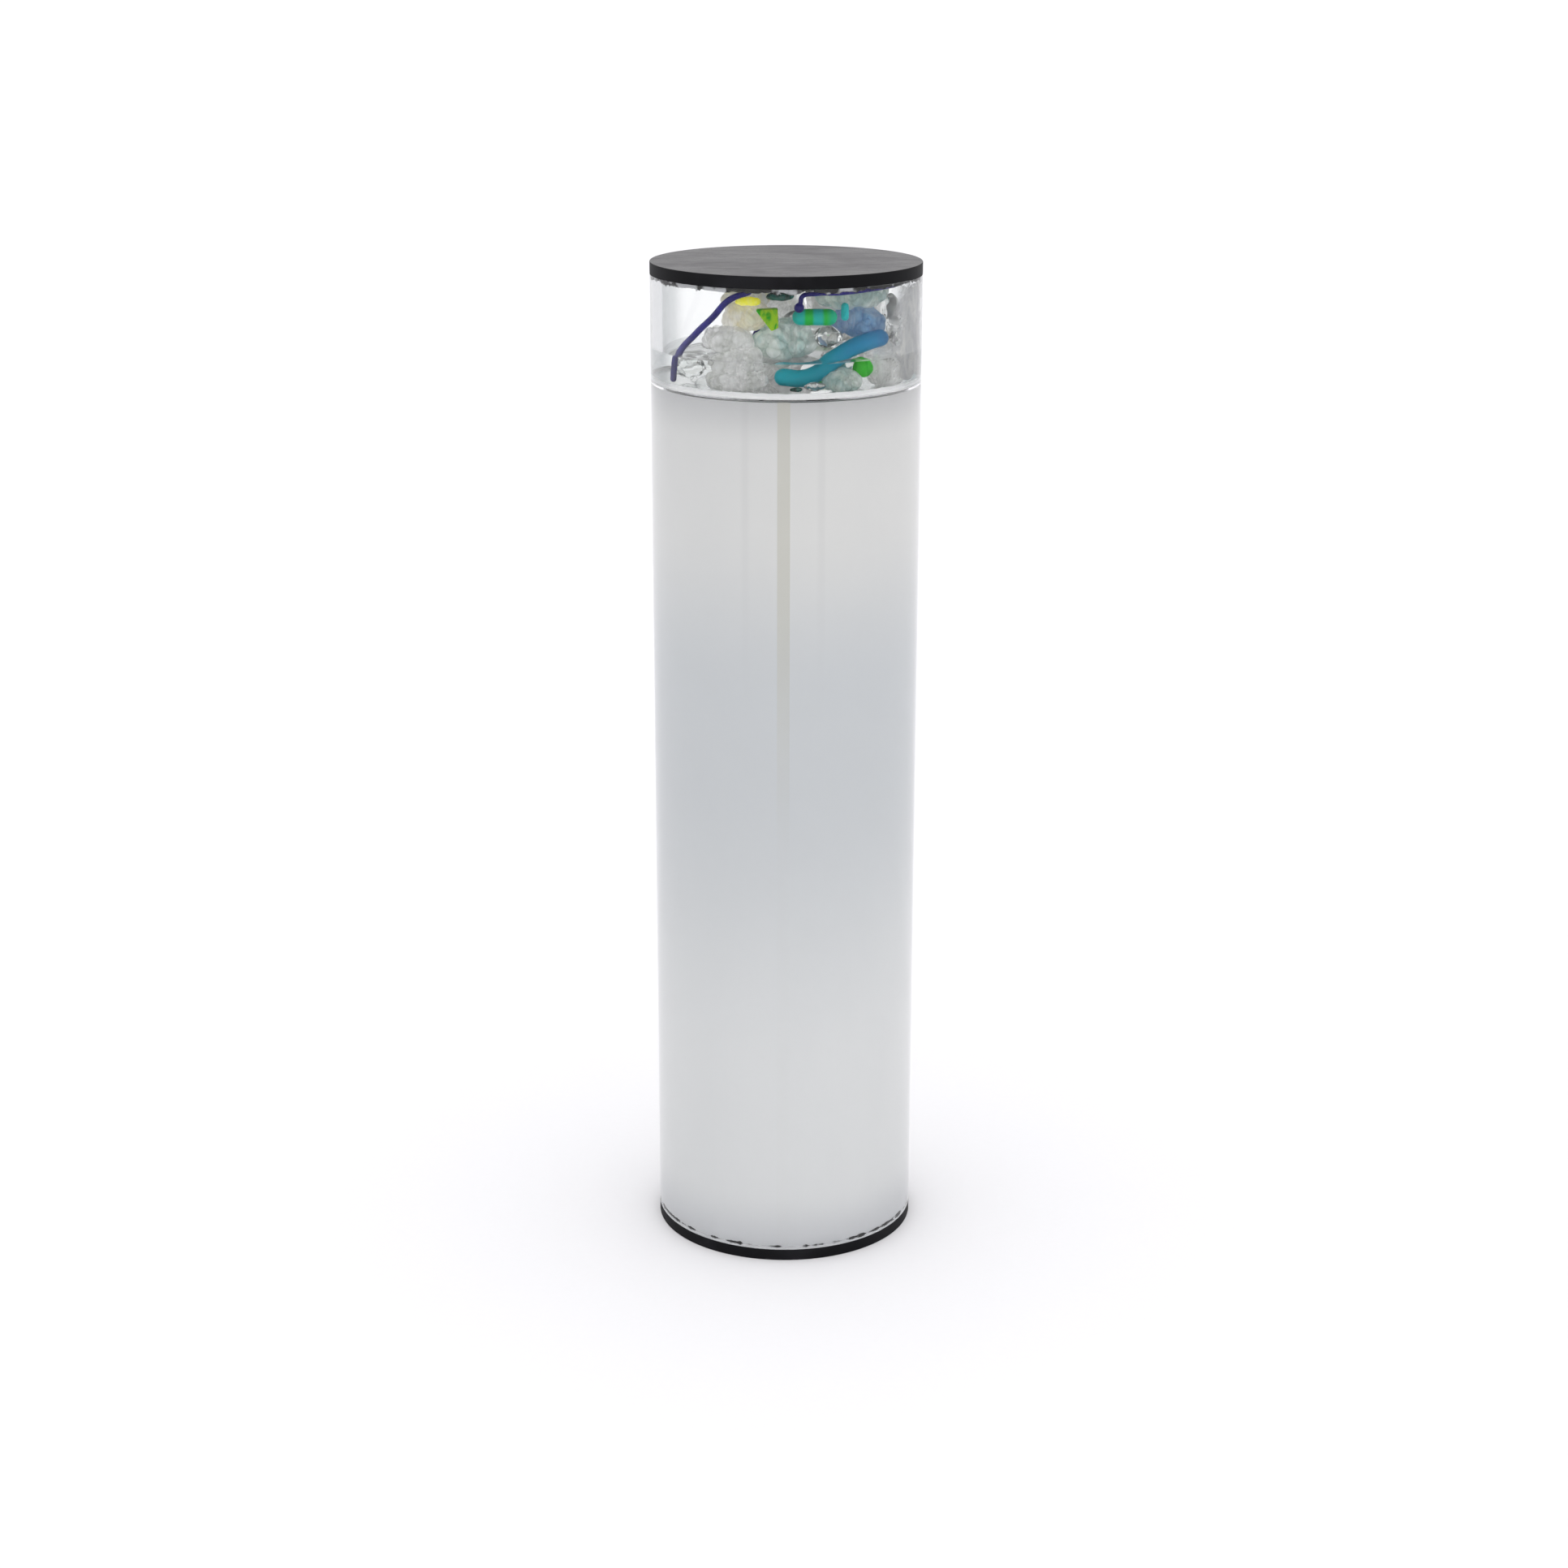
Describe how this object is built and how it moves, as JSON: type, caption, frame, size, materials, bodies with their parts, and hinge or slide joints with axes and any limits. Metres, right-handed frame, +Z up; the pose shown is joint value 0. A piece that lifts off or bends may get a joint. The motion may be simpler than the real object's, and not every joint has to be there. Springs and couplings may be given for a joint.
{
  "type": "kaleidoscope",
  "caption": "Hand-held kaleidoscope: pearl-lined clear tube with a mirror wedge, a clear chamber of loose coloured glass at one end and a black eyepiece disc at the other.",
  "frame": {"origin": "centre of the flat underside of the eye disc, which the kaleidoscope stands on", "axes": "+Z up along the tube towards the glass chamber, -Y towards the side with the lining's seam, +X to the right when facing that side"},
  "size_m": [0.045, 0.045, 0.17],
  "materials": {
    "black_acrylic": "polished edge, finely brushed and scratched face",
    "clear_acrylic": "polished clear cast acrylic",
    "pearl_film": "milky white pearl film",
    "tape": "aged clear tape",
    "mirror": "front-surface mirror",
    "black_card": "matt black",
    "white_card": "matt white",
    "cobalt_glass": "deep cobalt, fire polished",
    "turquoise_glass": "turquoise to blue, fire polished",
    "striped_glass": "bands of teal and green",
    "green_glass": "bright green",
    "yellow_glass": "bright yellow",
    "dark_teal_glass": "dark teal",
    "cream_glass": "cloudy cream",
    "frosted_glass": "cloudy white, melted surface",
    "sea_grey_glass": "cloudy grey-green",
    "pale_blue_glass": "pale blue",
    "clear_glass": "clear, melted surface"
  },
  "bodies": {
    "case": {"eye_disc": "black_acrylic", "end_disc": "black_acrylic", "body_tube": "clear_acrylic", "eye_window": "clear_acrylic", "cell_window": "clear_acrylic", "cell_wall": "clear_acrylic", "pearl_lining": "pearl_film", "lining_seam_tape": "tape", "mirror_edge_tape_left": "tape", "mirror_edge_tape_right": "tape", "mirror_apex_tape": "tape", "mirror_left": "mirror", "mirror_right": "mirror", "dark_front_strip": "black_card", "mirror_mask_lower": "black_card", "mirror_mask_upper": "white_card"},
    "glass_charge": {"cobalt_rod_long": "cobalt_glass", "cobalt_rod_ball_end": "cobalt_glass", "turquoise_rod": "turquoise_glass", "green_blob": "green_glass", "small_teal_bit": "dark_teal_glass", "pale_blue_lump": "pale_blue_glass", "cream_lump": "cream_glass", "frosted_lump_upper": "frosted_glass", "frosted_lump_middle": "frosted_glass", "frosted_lump_floor": "frosted_glass", "frosted_lump_back_floor": "frosted_glass", "frosted_lump_back": "frosted_glass", "smoky_lump_right": "frosted_glass", "smoky_lump_back_right": "frosted_glass", "smoky_lump_back": "frosted_glass", "sea_grey_lump": "sea_grey_glass", "sea_grey_lump_high": "sea_grey_glass", "green_tinted_lump": "sea_grey_glass", "clear_lump_left": "clear_glass", "clear_leaf": "clear_glass", "clear_shard_floor": "clear_glass", "clear_lump_middle": "clear_glass", "clear_lump_right_floor": "clear_glass", "clear_lump_back_left": "clear_glass", "clear_lump_back_right": "clear_glass"},
    "yellow_chip": {"yellow_chip": "yellow_glass"},
    "teal_bar": {"teal_bar": "turquoise_glass"},
    "striped_cane": {"striped_cane": "striped_glass"},
    "dark_teal_chip": {"dark_teal_chip": "dark_teal_glass"},
    "green_wedge": {"green_wedge": "green_glass"},
    "turquoise_pebble": {"turquoise_pebble": "turquoise_glass"},
    "cobalt_rod_short": {"cobalt_rod_short": "cobalt_glass"},
    "cream_lump_high": {"cream_lump_high": "cream_glass"},
    "clear_lump_right": {"clear_lump_right": "clear_glass"},
    "green_pebble": {"green_pebble": "green_glass"}
  },
  "joints": [
    {"name": "glass_charge_turn", "type": "hinge", "parent": "case", "child": "glass_charge", "pos_m": [0, 0, 0.151], "axis": [0, 0, 1], "continuous": true},
    {"name": "yellow_chip_lift", "type": "slide", "parent": "glass_charge", "child": "yellow_chip", "axis": [0, 0, 1], "range_m": [0, 0.0017]},
    {"name": "teal_bar_lift", "type": "slide", "parent": "glass_charge", "child": "teal_bar", "axis": [0, 0, 1], "range_m": [0, 0.0026]},
    {"name": "striped_cane_lift", "type": "slide", "parent": "glass_charge", "child": "striped_cane", "axis": [0, 0, 1], "range_m": [0, 0.002]},
    {"name": "dark_teal_chip_lift", "type": "slide", "parent": "glass_charge", "child": "dark_teal_chip", "axis": [0, 0, 1], "range_m": [0, 0.001]},
    {"name": "green_wedge_lift", "type": "slide", "parent": "glass_charge", "child": "green_wedge", "axis": [0, 0, 1], "range_m": [0, 0.0009]},
    {"name": "turquoise_pebble_lift", "type": "slide", "parent": "glass_charge", "child": "turquoise_pebble", "axis": [0, 0, 1], "range_m": [0, 0.005]},
    {"name": "cobalt_rod_short_lift", "type": "slide", "parent": "glass_charge", "child": "cobalt_rod_short", "axis": [0, 0, 1], "range_m": [0, 0.003]},
    {"name": "cream_lump_high_lift", "type": "slide", "parent": "glass_charge", "child": "cream_lump_high", "axis": [0, 0, 1], "range_m": [0, 0.001]},
    {"name": "clear_lump_right_lift", "type": "slide", "parent": "glass_charge", "child": "clear_lump_right", "axis": [0, 0, 1], "range_m": [0, 0.0022]},
    {"name": "green_pebble_lift", "type": "slide", "parent": "glass_charge", "child": "green_pebble", "axis": [0, 0, 1], "range_m": [0, 0.006]}
  ]
}
